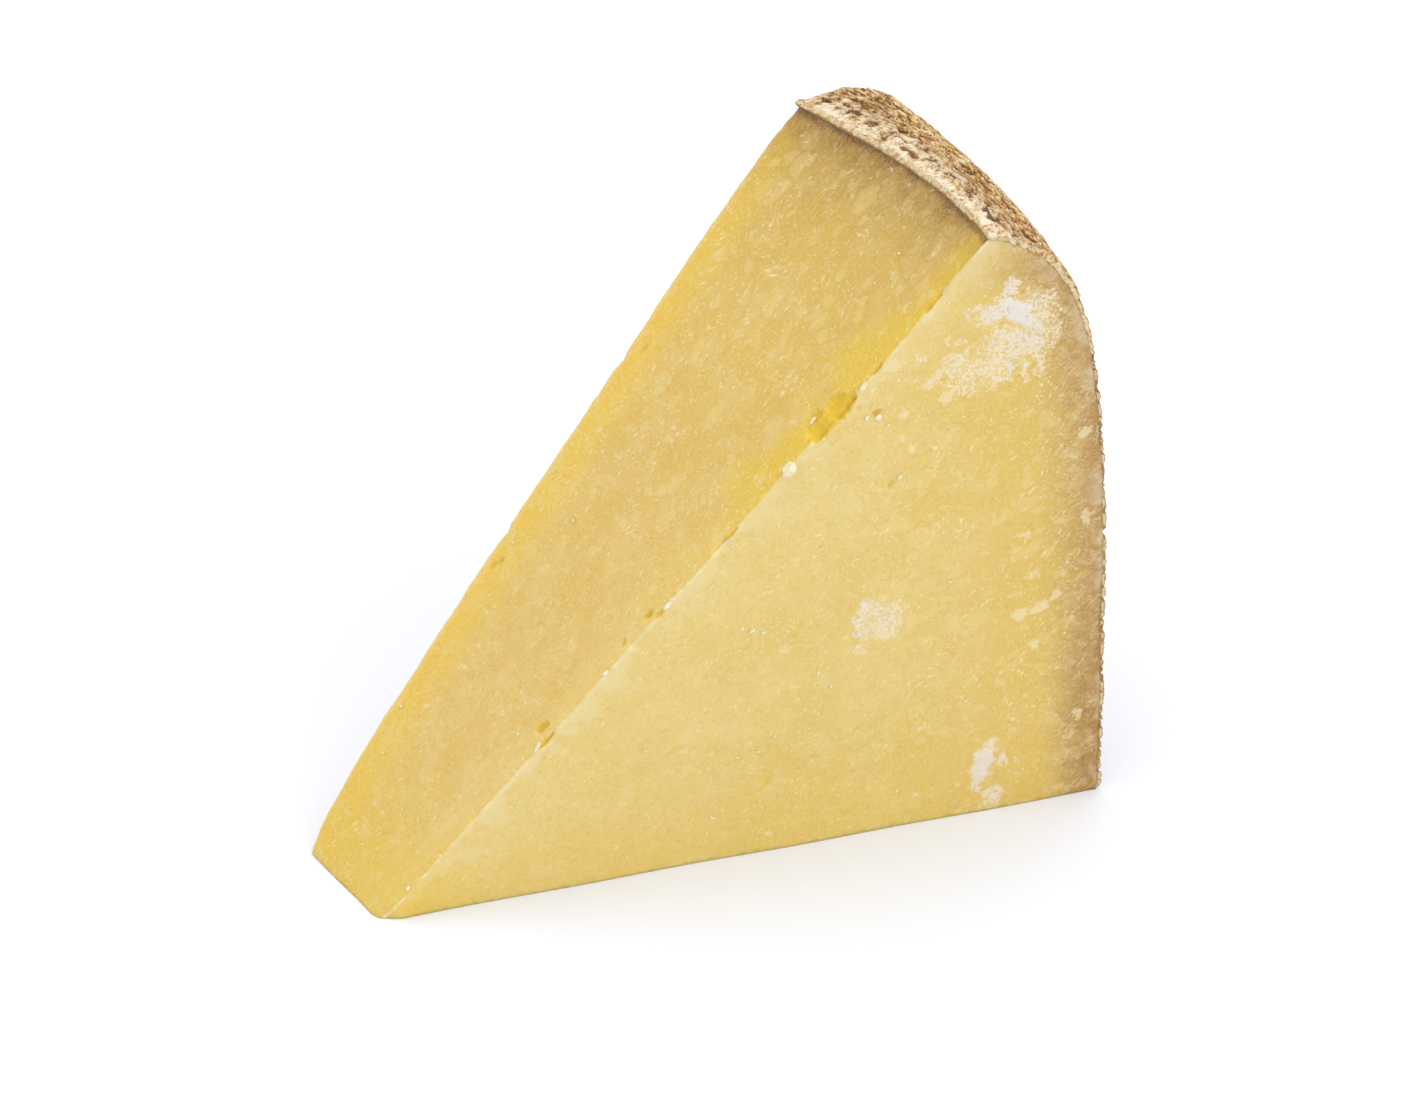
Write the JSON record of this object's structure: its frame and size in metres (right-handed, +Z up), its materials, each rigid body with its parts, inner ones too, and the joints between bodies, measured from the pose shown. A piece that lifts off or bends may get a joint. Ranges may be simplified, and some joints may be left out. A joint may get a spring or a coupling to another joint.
{
  "type": "cheese wedge",
  "caption": "Wedge of firm pressed cheese with a thick rounded rind, cut from a tall drum and standing on a level cut with one long slanting side.",
  "frame": {"origin": "under the middle of the bounding box, on the level cut that the wedge rests on", "axes": "+Z up; +X from the thin tip to the rind, along the middle of the wedge; +Y from the front cut to the back cut"},
  "size_m": [0.1178, 0.0542, 0.1013],
  "materials": {
    "cheese_paste": "pale golden pressed curd, waxy and slightly translucent, with pale specks, powdery white mould and a browned zone below the rind"
  },
  "bodies": {
    "root": {"cheese_wedge": "cheese_paste"}
  },
  "joints": []
}
